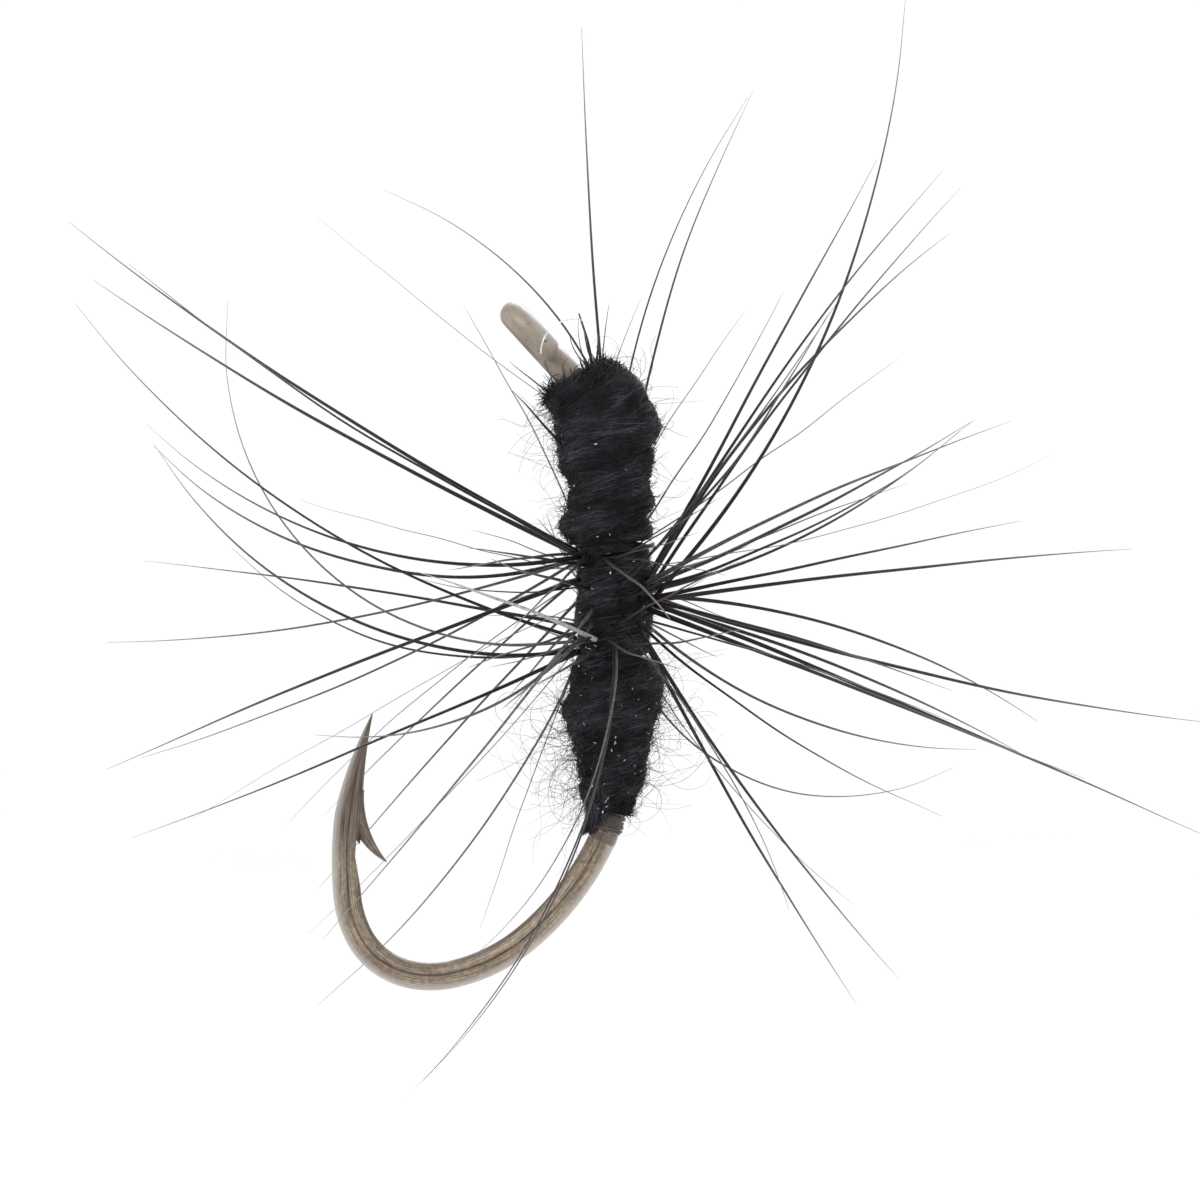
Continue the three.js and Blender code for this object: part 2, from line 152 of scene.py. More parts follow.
def make_route():
    """Samples the wire from its neck to its point: stations, centres and headings."""
    head_turn = SHANK_HEADING - EYE_HEADING
    runs = [(HEAD_BEND_RADIUS * math.radians(abs(head_turn)), head_turn), (SHANK_LENGTH, 0)]
    runs += [(radius * math.radians(turn), -turn) for radius, turn in BEND_ARCS]
    runs += [(LEG[0], -LEG[1]), (POINT[0], -POINT[1])]
    length = sum(run[0] for run in runs)
    stations = np.linspace(0, length, 6001)
    headings = np.full_like(stations, EYE_HEADING)
    start = 0.0
    for run_length, turn in runs:
        headings += turn * np.clip((stations - start) / run_length, 0, 1)
        start += run_length
    join = math.radians(90 - NECK_TURN)
    neck_radius = EYE_RADIUS * math.sin(join) / (1 - math.cos(math.radians(NECK_TURN)))
    neck_start = EYE_RADIUS * math.cos(join) + neck_radius * math.sin(math.radians(NECK_TURN))
    middles = heading_vector((headings[1:] + headings[:-1]) / 2)
    steps = middles * np.diff(stations)[:, None]
    first = heading_vector(EYE_HEADING) * neck_start
    centres = np.vstack([first, first + np.cumsum(steps, axis=0)])
    return stations, centres, headings, neck_radius, neck_start


STATIONS, CENTRES, HEADINGS, NECK_RADIUS, NECK_START = make_route()
WIRE_LENGTH = STATIONS[-1]


def wire_at(station):
    """Centres of the wire and directions toward its back at the stations."""
    station = np.asarray(station, float)
    centre = np.stack([np.interp(station, STATIONS, CENTRES[:, axis]) for axis in range(3)], axis=-1)
    heading = np.interp(station, STATIONS, HEADINGS)
    return centre, heading_vector(heading + 90), heading


def outward_from(back, angle):
    """Directions out from the wire, at an angle from its back toward the far side."""
    return back * np.cos(angle)[..., None] + FAR * np.sin(angle)[..., None]


def around_wire(station, angle, distance):
    """Points at an angle round the wire and a distance from its centre."""
    centre, back, _ = wire_at(station)
    return centre + distance[..., None] * outward_from(back, angle)


def smooth_blend(rows, station):
    """Blends the value in rows of (station, value), level at each row."""
    places = np.array([row[0] for row in rows])
    values = np.array([row[1] for row in rows])
    index = np.clip(np.searchsorted(places, station), 1, len(rows) - 1)
    share = np.clip((station - places[index - 1]) / (places[index] - places[index - 1]), 0, 1)
    share = share * share * (3 - 2 * share)
    return values[index - 1] + (values[index] - values[index - 1]) * share


# ---- meshes

def set_values(mesh, values):
    """Stores a number for each vertex under each name, for the materials to read."""
    for key, value in values.items():
        attribute = mesh.attributes.new(key, "FLOAT", "POINT")
        attribute.data.foreach_set("value", np.asarray(value, np.float32))


def add_object(name, data):
    """A new object of the scene."""
    added = bpy.data.objects.new(name, data)
    bpy.context.scene.collection.objects.link(added)
    return added


def make_object(name, points, faces, material, slot=None, stands_for=(), values=None, smooth=True):
    """A mesh object from points in millimetres; faces is a list of (count, corners) index arrays."""
    mesh = bpy.data.meshes.new(name)
    groups = [np.asarray(group, np.int32) for group in faces if len(group)]
    corners = np.concatenate([group.ravel() for group in groups])
    totals = np.concatenate([np.full(len(group), group.shape[1], np.int32) for group in groups])
    starts = np.concatenate([[0], np.cumsum(totals)[:-1]]).astype(np.int32)
    mesh.vertices.add(len(points))
    mesh.vertices.foreach_set("co", (np.asarray(points) * MM).astype(np.float32).ravel())
    mesh.loops.add(len(corners))
    mesh.loops.foreach_set("vertex_index", corners)
    mesh.polygons.add(len(totals))
    mesh.polygons.foreach_set("loop_start", starts)
    mesh.polygons.foreach_set("loop_total", totals)
    mesh.polygons.foreach_set("use_smooth", np.full(len(totals), smooth))
    mesh.update(calc_edges=True)
    set_values(mesh, values or {})
    mesh.materials.append(material)
    piece = add_object(name, mesh)
    if slot:
        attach(piece, "root")
    if stands_for:
        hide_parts(*stands_for)
    return piece


def full_turn(count):
    """Angles spread evenly round a whole turn."""
    return np.linspace(0, 2 * np.pi, count, endpoint=False)


def unit(vectors):
    """The vectors scaled to length 1."""
    return vectors / np.maximum(np.linalg.norm(vectors, axis=-1, keepdims=True), 1e-12)


def carried_frames(paths, first_side):
    """Tangents and two side vectors along many paths (count, steps, 3), without twist."""
    tangents = unit(np.gradient(paths, axis=1))
    side = np.broadcast_to(first_side, paths[:, 0].shape).copy()
    sides = np.empty_like(paths)
    for step in range(paths.shape[1]):
        tangent = tangents[:, step]
        side = unit(side - tangent * np.sum(side * tangent, axis=-1, keepdims=True))
        sides[:, step] = side
    return tangents, sides, np.cross(tangents, sides)


def ring_quads(rows, columns):
    """Faces between neighbouring rings, each a row of points that closes on itself."""
    row = (np.arange(rows - 1) * columns)[:, None]
    column = np.arange(columns)[None, :]
    following = (column + 1) % columns
    corners = [row + column, row + columns + column, row + columns + following, row + following]
    return np.stack(corners, axis=-1).reshape(-1, 4)


def tubes(paths, radii, corners, flatness=1.0, twist=None, first_side=None):
    """Closed tubes round many paths: points, faces, and each point's angle round its tube."""
    count, steps, _ = paths.shape
    if first_side is None:
        first_side = unit(random.normal(size=(count, 3)))
    _, across, over = carried_frames(paths, first_side)
    angle = np.broadcast_to(full_turn(corners), (count, steps, corners))
    turn = np.zeros((count, steps)) if twist is None else twist
    wide = radii[..., None] * np.cos(angle)
    thick = radii[..., None] * np.sin(angle) * flatness
    cos_turn = np.cos(turn)[..., None]
    sin_turn = np.sin(turn)[..., None]
    along_across = wide * cos_turn - thick * sin_turn
    along_over = wide * sin_turn + thick * cos_turn
    points = (
        paths[:, :, None]
        + along_across[..., None] * across[:, :, None]
        + along_over[..., None] * over[:, :, None]
    )
    start = (np.arange(count) * steps * corners)[:, None]
    quads = (start[:, None] + ring_quads(steps, corners)[:, [0, 3, 2, 1]]).reshape(-1, 4)
    first_cap = start + np.arange(corners)[::-1]
    last_cap = start + (steps - 1) * corners + np.arange(corners)
    return points.reshape(-1, 3), [quads, first_cap, last_cap], angle.reshape(-1)


def per_point(values, corners):
    """Repeats values given at (count, steps) for each corner of their tubes."""
    return np.repeat(np.asarray(values), corners, axis=-1).reshape(-1)


def capped_surface(rings):
    """Faces of a closed surface through rings (rows, columns, 3), capped at both ends."""
    rows, columns = rings.shape[:2]
    first_cap = np.arange(columns)[None, :]
    last_cap = ((rows - 1) * columns + np.arange(columns)[::-1])[None, :]
    return [ring_quads(rows, columns), first_cap, last_cap]


def sleeve_surface(rings):
    """Faces of a sleeve, whose rings run down its outside and back up its bore to the first."""
    rows, columns = rings.shape[:2]
    first = np.arange(columns)
    last = (rows - 1) * columns + first
    closing = np.stack([last, first, np.roll(first, -1), np.roll(last, -1)], axis=-1)
    return [ring_quads(rows, columns), closing]


def turn_outward(piece):
    """Makes a closed piece's faces point outward."""
    form = bmesh.new()
    form.from_mesh(piece.data)
    bmesh.ops.recalc_face_normals(form, faces=form.faces)
    form.to_mesh(piece.data)
    form.free()


# ---- materials

class Shader:
    """A Principled material and short ways to add nodes to it."""

    def __init__(self, name, **settings):
        self.material = bpy.data.materials.new(name)
        self.material.use_nodes = True
        self.tree = self.material.node_tree
        self.surface = self.tree.nodes["Principled BSDF"]
        for key, value in settings.items():
            self.surface.inputs[key.replace("_", " ")].default_value = value

    def node(self, kind, **inputs):
        made = self.tree.nodes.new(kind)
        for key, value in inputs.items():
            self.feed(made.inputs[key.replace("_", " ")], value)
        return made

    def feed(self, socket, value):
        if isinstance(value, bpy.types.NodeSocket):
            self.tree.links.new(value, socket)
        else:
            socket.default_value = value

    def place(self):
        return self.node("ShaderNodeTexCoord").outputs["Object"]

    def stretched(self, vector, scale):
        return self.node("ShaderNodeMapping", Vector=vector, Scale=scale).outputs["Vector"]

    def noise(self, scale, detail=3.0, vector=None, roughness=0.55):
        made = self.node("ShaderNodeTexNoise", Scale=scale, Detail=detail, Roughness=roughness)
        self.feed(made.inputs["Vector"], vector or self.place())
        return made.outputs["Fac"]

    def attribute(self, name):
        made = self.node("ShaderNodeAttribute")
        made.attribute_name = name
        return made.outputs["Fac"]

    def ramp(self, factor, *stops):
        made = self.node("ShaderNodeValToRGB", Fac=factor)
        elements = made.color_ramp.elements
        while len(elements) < len(stops):
            elements.new(0.5)
        for element, (place, value) in zip(elements, stops):
            element.position = place
            colour = value if isinstance(value, tuple) else (value, value, value)
            element.color = (*colour, 1.0)
        return made.outputs["Color"]

    def mix(self, factor, first, second):
        made = self.tree.nodes.new("ShaderNodeMix")
        made.data_type = "RGBA"
        for socket, value in zip((made.inputs[0], made.inputs[6], made.inputs[7]), (factor, first, second)):
            if isinstance(value, tuple) and len(value) == 3:
                value = (*value, 1.0)
            self.feed(socket, value)
        return made.outputs[2]

    def maths(self, operation, first, second):
        made = self.tree.nodes.new("ShaderNodeMath")
        made.operation = operation
        made.use_clamp = True
        self.feed(made.inputs[0], first)
        self.feed(made.inputs[1], second)
        return made.outputs[0]

    def add(self, first, second):
        return self.maths("ADD", first, second)

    def multiply(self, first, second):
        return self.maths("MULTIPLY", first, second)

    def bump(self, height, strength, depth):
        made = self.node("ShaderNodeBump", Strength=strength, Distance=depth * MM, Height=height)
        self.feed(self.surface.inputs["Normal"], made.outputs["Normal"])

    def colour(self, value):
        self.feed(self.surface.inputs["Base Color"], value)

    def rough(self, value):
        self.feed(self.surface.inputs["Roughness"], value)


def hook_material():
    """Bronzed wire: satin, drawn lengthways, with a painted dark reflection along the middle of each side, a
    painted highlight on its outer edge and painted shade on its inner edge.
    """
    shader = Shader("bronzed_wire", Metallic=0.35, Specular_IOR_Level=0.4)
    across = shader.attribute("across")
    eye = shader.attribute("eye")
    route = shader.node("ShaderNodeCombineXYZ", X=shader.attribute("station"), Y=across).outputs["Vector"]
    streaks = shader.noise(1.0, 4.0, shader.stretched(route, (1.3, 26.0, 1.0)), 0.6)
    grain = shader.noise(11000.0, 3.0)
    mottle = shader.noise(1500.0, 3.0)
    tone = shader.add(shader.multiply(streaks, 0.68), shader.multiply(grain, 0.32))
    bronze_tones = (0.36, (0.075, 0.054, 0.034)), (0.5, (0.155, 0.12, 0.085)), (0.64, (0.31, 0.26, 0.2))
    body = shader.ramp(tone, *bronze_tones)
    # Painted highlight: the outer edge of the wire is lightened toward pale grey, standing in for the bright
    # room reflected there.
    outside = shader.ramp(across, (0.7, 0.0), (0.95, 0.8))
    at_eye = shader.ramp(eye, (0.0, 0.0), (1.0, 0.72))
    eye_tone = shader.ramp(mottle, (0.3, (0.2, 0.17, 0.14)), (0.7, (0.33, 0.29, 0.25)))
    shaded = shader.mix(at_eye, body, eye_tone)
    pits = shader.multiply(eye, shader.ramp(grain, (0.66, 0.0), (0.7, 0.9)))
    shaded = shader.mix(pits, shaded, (0.02, 0.016, 0.014))
    at_point = shader.multiply(shader.attribute("point"), 0.85)
    point_tone = shader.ramp(streaks, (0.4, (0.028, 0.018, 0.014)), (0.62, (0.13, 0.1, 0.08)))
    shaded = shader.mix(at_point, shaded, point_tone)
    # The painted highlight is laid over the outer edge here.
    shaded = shader.mix(outside, shaded, (0.36, 0.335, 0.31))
    # Painted reflection: a dark line down the middle of each side, standing in for the dark room reflected
    # in the wire; it wanders a little and fades out toward the eye.
    wandered = shader.add(across, shader.multiply(mottle, 0.09))
    line = shader.ramp(wandered, (0.45, 0.0), (0.482, 1.0), (0.515, 1.0), (0.56, 0.0))
    line = shader.multiply(line, shader.ramp(mottle, (0.32, 0.55), (0.6, 0.95)))
    line = shader.multiply(line, shader.ramp(eye, (0.0, 1.0), (0.4, 0.0)))
    with_painted_dark_line = shader.mix(line, shaded, (0.036, 0.022, 0.012))
    # Painted shade: the inner edge of the wire is darkened to dark brown.
    painted_inner_shade = shader.ramp(across, (0.03, 0.9), (0.13, 0.0))
    shader.colour(shader.mix(painted_inner_shade, with_painted_dark_line, (0.06, 0.035, 0.02)))
    shader.rough(shader.ramp(mottle, (0.3, 0.5), (0.7, 0.36)))
    shader.bump(tone, 0.35, 0.015)
    return shader.material


def wool_material():
    """Black wool: matt, with a faint cool sheen and a mottle as fine as its fibres."""
    shader = Shader(
        "wool_core", Roughness=0.9, Specular_IOR_Level=0.15, Sheen_Weight=0.08, Sheen_Roughness=0.4
    )
    shader.surface.inputs["Sheen Tint"].default_value = (0.55, 0.57, 0.65, 1.0)
    tone = shader.noise(5200.0, 4.0)
    shader.colour(shader.ramp(tone, (0.35, (0.004, 0.004, 0.005)), (0.68, (0.014, 0.014, 0.017))))
    plies = shader.noise(14000.0, 4.0, shader.stretched(shader.place(), (1.0, 1.0, 2.2)))
    shader.bump(plies, 0.8, 0.05)
    return shader.material


def strand_material(name, dark, light):
    """Single wool fibres: each has its own tone from dark to light."""
    shader = Shader(name, Roughness=0.6, Specular_IOR_Level=0.15)
    streak = shader.noise(7000.0, 2.0)
    clump = shader.ramp(shader.noise(1900.0, 2.0), (0.35, 0.25), (0.68, 1.5))
    tone = shader.multiply(shader.attribute("tone"), clump)
    tone = shader.add(tone, shader.multiply(streak, 0.2))
    shader.colour(shader.ramp(tone, (0.1, dark), (1.0, light)))
    return shader.material


def feather_material():
    """Glossy hair-like fibre: black spine, brown translucent edges, greyer toward the tip, and a pale grey
    painted sheen where a fibre's pale value asks for it.
    """
    shader = Shader("hackle_fibre", Specular_IOR_Level=0.16)
    streaks = shader.noise(9000.0, 3.0)
    spine = shader.ramp(
        shader.attribute("along"),
        (0.0, (0.003, 0.0026, 0.003)),
        (0.3, (0.006, 0.005, 0.0055)),
        (0.6, (0.03, 0.026, 0.026)),
        (1.0, (0.16, 0.145, 0.14)),
    )
    brown = shader.ramp(streaks, (0.35, (0.006, 0.003, 0.002)), (0.7, (0.075, 0.035, 0.018)))
    edge = shader.multiply(shader.attribute("edge"), shader.ramp(streaks, (0.4, 0.1), (0.7, 0.8)))
    toned = shader.mix(edge, spine, brown)
    # Painted sheen: a fibre is mixed toward pale grey as far as its pale value says.
    pale = shader.ramp(streaks, (0.3, (0.22, 0.21, 0.21)), (0.7, (0.5, 0.49, 0.49)))
    shader.colour(shader.mix(shader.attribute("pale"), toned, pale))
    shader.rough(shader.ramp(streaks, (0.3, 0.35), (0.7, 0.52)))
    return shader.material


def thread_material():
    """Waxed black tying thread with its twist."""
    shader = Shader("tying_thread", Roughness=0.5, Specular_IOR_Level=0.45)
    twist = shader.node("ShaderNodeTexWave", Vector=shader.place(), Scale=9000.0, Distortion=2.0)
    plies = shader.ramp(twist.outputs["Fac"], (0.2, (0.012, 0.009, 0.007)), (0.9, (0.085, 0.065, 0.05)))
    shader.colour(plies)
    shader.bump(twist.outputs["Fac"], 0.4, 0.01)
    return shader.material


def cement_material():
    """Clear brown head cement, thick and thin in places."""
    shader = Shader(
        "cement", Roughness=0.12, Specular_IOR_Level=0.5, Transmission_Weight=0.35, Coat_Weight=0.6
    )
    cloud = shader.noise(3500.0, 3.0)
    shader.colour(shader.ramp(cloud, (0.3, (0.035, 0.02, 0.012)), (0.7, (0.12, 0.075, 0.045))))
    shader.bump(cloud, 0.3, 0.02)
    return shader.material


def speck_material():
    """Pale dust caught in the wool."""
    shader = Shader("dust", Roughness=0.8)
    shader.colour(shader.ramp(shader.noise(8000.0), (0.3, (0.35, 0.36, 0.38)), (0.7, (0.8, 0.8, 0.8))))
    return shader.material


def stage_material():
    """Pale paper."""
    shader = Shader("pale_paper", Roughness=0.9, Specular_IOR_Level=0.1)
    grain = shader.ramp(shader.noise(40.0), (0.3, 0.86), (0.7, 0.89))
    shader.colour(grain)
    shader.surface.inputs["Emission Color"].default_value = (1.0, 1.0, 1.0, 1.0)
    shader.surface.inputs["Emission Strength"].default_value = STAGE_GLOW
    return shader.material


# ---- hook

def eye_loop():
    """Centres of the wire round the eye and down its neck, ending where the route starts."""
    join = math.radians(90 - NECK_TURN)
    angles = np.linspace(2 * np.pi - math.radians(EYE_END_ANGLE), join, 90)
    along = EYE_RADIUS * np.cos(angles)
    aside = EYE_RADIUS * np.sin(angles)
    turns = np.radians(NECK_TURN) * np.linspace(1, 0, 24)[1:-1]
    along = np.concatenate([along, NECK_START - NECK_RADIUS * np.sin(turns)])
    aside = np.concatenate([aside, NECK_RADIUS * (1 - np.cos(turns))])
    axis = heading_vector(EYE_HEADING)
    return along[:, None] * axis + aside[:, None] * FAR


def wire_radius_at(station):
    """The wire's radius, which falls to almost nothing along the point."""
    share = np.clip((station - (WIRE_LENGTH - POINT[0])) / POINT[0], 0, 1)
    return WIRE_RADIUS + (POINT_TIP_RADIUS - WIRE_RADIUS) * share**POINT_ROUNDNESS


def single_tube(name, path, radii, corners, material):
    """An object made of one closed tube."""
    points, faces, _ = tubes(path[None], radii[None], corners, first_side=FAR)
    piece = make_object(name, points, faces, material)
    turn_outward(piece)
    return piece


def combine(piece, tool, operation):
    """Joins tool onto piece, or cuts it away, and removes the tool."""
    modifier = piece.modifiers.new("combine", "BOOLEAN")
    modifier.operation = operation
    modifier.solver = "EXACT"
    modifier.object = tool
    evaluated = piece.evaluated_get(bpy.context.evaluated_depsgraph_get())
    mesh = bpy.data.meshes.new_from_object(evaluated)
    piece.modifiers.remove(modifier)
    old = piece.data
    piece.data = mesh
    bpy.data.meshes.remove(old)
    bpy.data.objects.remove(tool)


def make_thorn(material):
    """The barb before it is joined on: a curved thorn that splays away from the wire."""
    station = WIRE_LENGTH - BARB_FROM_TIP
    centre, back, heading = wire_at(station)
    share = np.linspace(0, 1, THORN_SAMPLES)
    splay = BARB_SPLAY[0] + (BARB_SPLAY[1] - BARB_SPLAY[0]) * share
    strides = heading_vector(heading + 180 + splay) * BARB_LENGTH / (THORN_SAMPLES - 1)
    root = centre + back * (BARB_RADIUS - CLEARANCE - wire_radius_at(station))
    path = root + np.vstack([np.zeros(3), np.cumsum(strides, axis=0)[:-1]])
    radii = BARB_RADIUS + (POINT_TIP_RADIUS - BARB_RADIUS) * share**BARB_FULLNESS
    return single_tube("thorn", path, radii, THORN_SIDES, material)


def make_notch(material):
    """The wedge that is cut away under the barb."""
    centre, back, heading = wire_at(WIRE_LENGTH - NOTCH_FROM_TIP)
    apex = centre + back * (NOTCH_DEPTH - WIRE_RADIUS)
    along = heading_vector(heading + 180)
    outline = [
        (0, 0),
        (NOTCH_LENGTH / 3, 0),
        (NOTCH_LENGTH, NOTCH_RISE),
        (NOTCH_LENGTH, NOTCH_OPENING),
        (NOTCH_OPENING, NOTCH_OPENING),
    ]
    corners = np.array([apex + along * x - back * y for x, y in outline])
    reach = FAR * 2 * WIRE_RADIUS
    rings = np.stack([corners - reach, corners + reach])
    notch = make_object("notch", rings.reshape(-1, 3), capped_surface(rings), material, smooth=False)
    turn_outward(notch)
    return notch


def make_hook(material):
    """The whole hook, with values on its surface that tell its material where it is."""
    stations = np.linspace(0, WIRE_LENGTH, HOOK_SAMPLES)
    loop = eye_loop()
    path = np.vstack([loop, wire_at(stations)[0]])
    radii = np.concatenate([np.full(len(loop), WIRE_RADIUS), wire_radius_at(stations)])
    hook = single_tube("bronzed_hook", path, radii, HOOK_SIDES, material)
    combine(hook, make_thorn(material), "UNION")
    combine(hook, make_notch(material), "DIFFERENCE")
    mesh = hook.data
    tree = KDTree(len(path))
    for index, point in enumerate(path):
        tree.insert(point, index)
    tree.balance()
    nearest = np.array([tree.find(vertex.co / MM)[1] for vertex in mesh.vertices])
    loop_stations = np.linspace(-0.06 * len(loop), -0.06, len(loop))
    station = np.concatenate([loop_stations, stations])[nearest]
    _, back, _ = wire_at(np.maximum(station, 0))
    normals = np.array([vertex.normal for vertex in mesh.vertices])
    values = {
        "station": station,
        "across": (np.sum(normals * back, axis=1) + 1) / 2,
        "eye": np.clip(0.6 - station * 1.5, 0, 1),
        "point": np.clip((station - WIRE_LENGTH + DARK_POINT_FROM_TIP) / DARK_POINT_FADE, 0, 1),
    }
    set_values(mesh, values)
    mesh.shade_smooth()
    mesh.set_sharp_from_angle(angle=math.radians(SHARP_EDGE))
    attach(hook, "root")
    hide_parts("hook")


# ---- thread and cement

def make_collar(name, span, material):
    """Thread wraps lying side by side over a span, each with its own small slip."""
    thread_radius = 0.028
    turns = (span[1] - span[0]) / (1.75 * thread_radius)
    steps = int(turns * 28)
    share = np.linspace(0, 1, steps)
    station = span[0] + (span[1] - span[0]) * share
    angle = 2 * np.pi * turns * share
    station = station + 0.006 * np.sin(angle * 0.37) + 0.004 * np.sin(angle * 1.31)
    distance = WIRE_RADIUS + thread_radius * (1.1 + 0.25 * np.sin(angle * 0.23))
    path = around_wire(station, angle, distance)
    points, faces, _ = tubes(path[None], np.full((1, steps), thread_radius), 6, first_side=FAR)
    make_object(name + "_wraps", points, faces, material, "tying_thread", [name])


def make_cement(name, drop, material):
    """A drop of cement run round the wire, uneven along its edges."""
    start, end, thickness = drop
    angle = full_turn(64)
    rows = np.linspace(0, 1, 14)
    swell = np.sin(np.pi * rows) ** 0.6
    ragged = 0.05 * np.sin(3 * angle + 0.6) + 0.035 * np.sin(7 * angle)
    middle = (start + end) / 2
    station = middle + (rows[:, None] - 0.5) * (end - start) * (1.5 + 2 * ragged[None])
    uneven = 1 + 0.25 * np.sin(2 * angle + 1) + 0.12 * np.sin(5 * angle)
    distance = WIRE_RADIUS + 0.003 + 0.18 * thickness * swell[:, None] * uneven[None]
    outer = around_wire(station, np.broadcast_to(angle, station.shape), distance)
    inner_distance = np.full(station.shape, WIRE_RADIUS - 0.02)
    inner = around_wire(station, np.broadcast_to(angle, station.shape), inner_distance)[::-1]
    rings = np.concatenate([outer, inner[[0, -1]]])
    points = rings.reshape(-1, 3)
    piece = make_object(name + "_drop", points, sleeve_surface(rings), material, "cement", [name])
    turn_outward(piece)


# ---- wool

def waves(count, frequencies, seed):
    """Plane waves that add up to a smooth lumpy field over points in millimetres."""
    chosen = np.random.default_rng(seed)
    directions = unit(chosen.normal(size=(count, 3)))
    lengths = chosen.uniform(*frequencies, size=count)
    return directions * lengths[:, None], chosen.uniform(0, 2 * np.pi, count)


def lumps(points, field):
    """The height of a lumpy field at the points, about -1 to 1."""
    vectors, phases = field
    return np.mean(np.sin(points @ vectors.T + phases), axis=-1) * math.sqrt(len(phases))


SOFT_LUMPS = waves(14, (2.0, 5.0), 3)
FINE_LUMPS = waves(24, (9.0, 20.0), 5)
CORE_ROW = 0.035
CORE_COLUMNS = 130
STRANDS = {"thorax_wool": 3600, "waist_wool": 1800, "abdomen_wool": 2800}
FUZZ = {"thorax_wool": 2200, "waist_wool": 500, "abdomen_wool": 2200}


def turn_crown(winding, station, angle):
    """1 on the crown of a winding's turn, 0 in the groove between turns."""
    phase = ((station - winding["span"][0]) / winding["pitch"] - WINDING_HAND * angle / (2 * np.pi)) % 1.0
    return 1 - np.abs(2 * phase - 1) ** 4


def body_reach(winding, station, angle):
    """Distance from the wire's centre to the wool's surface, with a groove between its turns."""
    offset = smooth_blend(winding["offset"], station) * np.cos(angle)
    reach = smooth_blend(winding["outer"], station) + offset
    start, end = winding["span"]
    edge = np.clip(np.minimum(station - start, end - station) / 0.12 + 0.6, 0, 1)
    depth = 0.84 + 0.18 * turn_crown(winding, station, angle)
    return WOOL_BORE + (reach - WOOL_BORE) * depth * np.sqrt(edge)


def wool_surface(winding, station, angle, lift=0.0):
    """Points on the lumpy surface of the wool."""
    reach = body_reach(winding, station, angle)
    even = around_wire(station, angle, reach)
    rough = 0.05 * lumps(even, SOFT_LUMPS) + 0.016 * lumps(even, FINE_LUMPS)
    return around_wire(station, angle, np.maximum(reach + rough + lift, WOOL_BORE + 0.02))


def make_core(name, winding, material):
    """The solid body of one winding."""
    start, end = winding["span"]
    rows = int((end - start) / CORE_ROW)
    angle = full_turn(CORE_COLUMNS)
    station, turned = np.meshgrid(np.linspace(start, end, rows), angle, indexing="ij")
    outer = wool_surface(winding, station, turned, -0.03)
    station, turned = np.meshgrid([end, start], angle, indexing="ij")
    bore = around_wire(station, turned, np.full(station.shape, WOOL_BORE))
    rings = np.concatenate([outer, bore])
    points = rings.reshape(-1, 3)
    piece = make_object(name + "_core", points, sleeve_surface(rings), material, "wool", [name])
    turn_outward(piece)


def make_hairs(name, paths, thickness, profile, corners, tones, material, painted_shade=1.0):
    """Many thin wool hairs in one mesh, each with its own thickness and its own tone, the tone scaled by any
    painted shade given.
    """
    radii = random.uniform(*thickness, len(paths))[:, None] * profile
    points, faces, _ = tubes(paths, radii, corners)
    tone = np.broadcast_to(random.beta(*tones, len(paths))[:, None] * painted_shade, radii.shape)
    make_object(name, points, faces, material, "wool", values={"tone": per_point(tone, corners)})


def make_strands(name, winding, count, material):
    """Wool fibres that lie along the turns, dip into them and rise off them, painted darker in the grooves
    as shade and lighter on the crowns as a highlight.
    """
    start, end = winding["span"]
    steps = 12
    share = np.linspace(0, 1, steps)
    length = random.uniform(0.7, 2.0, count)
    first_station = random.uniform(start, end, count)
    first_angle = random.uniform(0, 2 * np.pi, count)
    girth = smooth_blend(winding["outer"], first_station)
    slope = random.normal(0, 0.13, count)
    sweep = (length / girth)[:, None] * share * np.sign(random.uniform(-1, 1, count))[:, None]
    wander = np.cumsum(random.normal(0, 0.014, (count, steps)), axis=1)
    along = sweep * (WINDING_HAND * winding["pitch"] / (2 * np.pi) + slope[:, None] * girth[:, None])
    station = np.clip(first_station[:, None] + along + wander, start, end)
    angle = first_angle[:, None] + sweep + np.cumsum(random.normal(0, 0.03, (count, steps)), axis=1)
    loft = random.gamma(1.2, 0.014, count)[:, None]
    ripple = np.sin(share * random.uniform(4, 12, count)[:, None] + random.uniform(0, 6, count)[:, None])
    paths = wool_surface(winding, station, angle, loft * (0.6 + 0.6 * ripple) - 0.012)
    profile = 1 - 0.75 * np.abs(2 * share - 1) ** 4
    # Painted shade and highlight: strands are darkened in the grooves between turns and lightened on the
    # crowns.
    painted_shade = 0.25 + 0.95 * turn_crown(winding, station, angle) ** 2
    make_hairs(name + "_strands", paths, (0.007, 0.013), profile, 3, (1.3, 3.2), material, painted_shade)


def curly_paths(roots, directions, lengths, steps, curl):
    """Random curly walks from the roots."""
    count = len(roots)
    stride = (lengths / steps)[:, None]
    axes = unit(random.normal(size=(count, 3)))
    bend = random.normal(curl, curl * 0.6, count)
    heading = unit(directions)
    points = [roots]
    for _ in range(steps):
        axes = unit(axes + random.normal(0, 0.22, (count, 3)))
        angle = (bend * stride[:, 0])[:, None]
        heading = unit(
            heading * np.cos(angle)
            + np.cross(axes, heading) * np.sin(angle)
            + axes * np.sum(axes * heading, axis=-1, keepdims=True) * (1 - np.cos(angle))
        )
        points.append(points[-1] + heading * stride)
    return np.stack(points, axis=1)


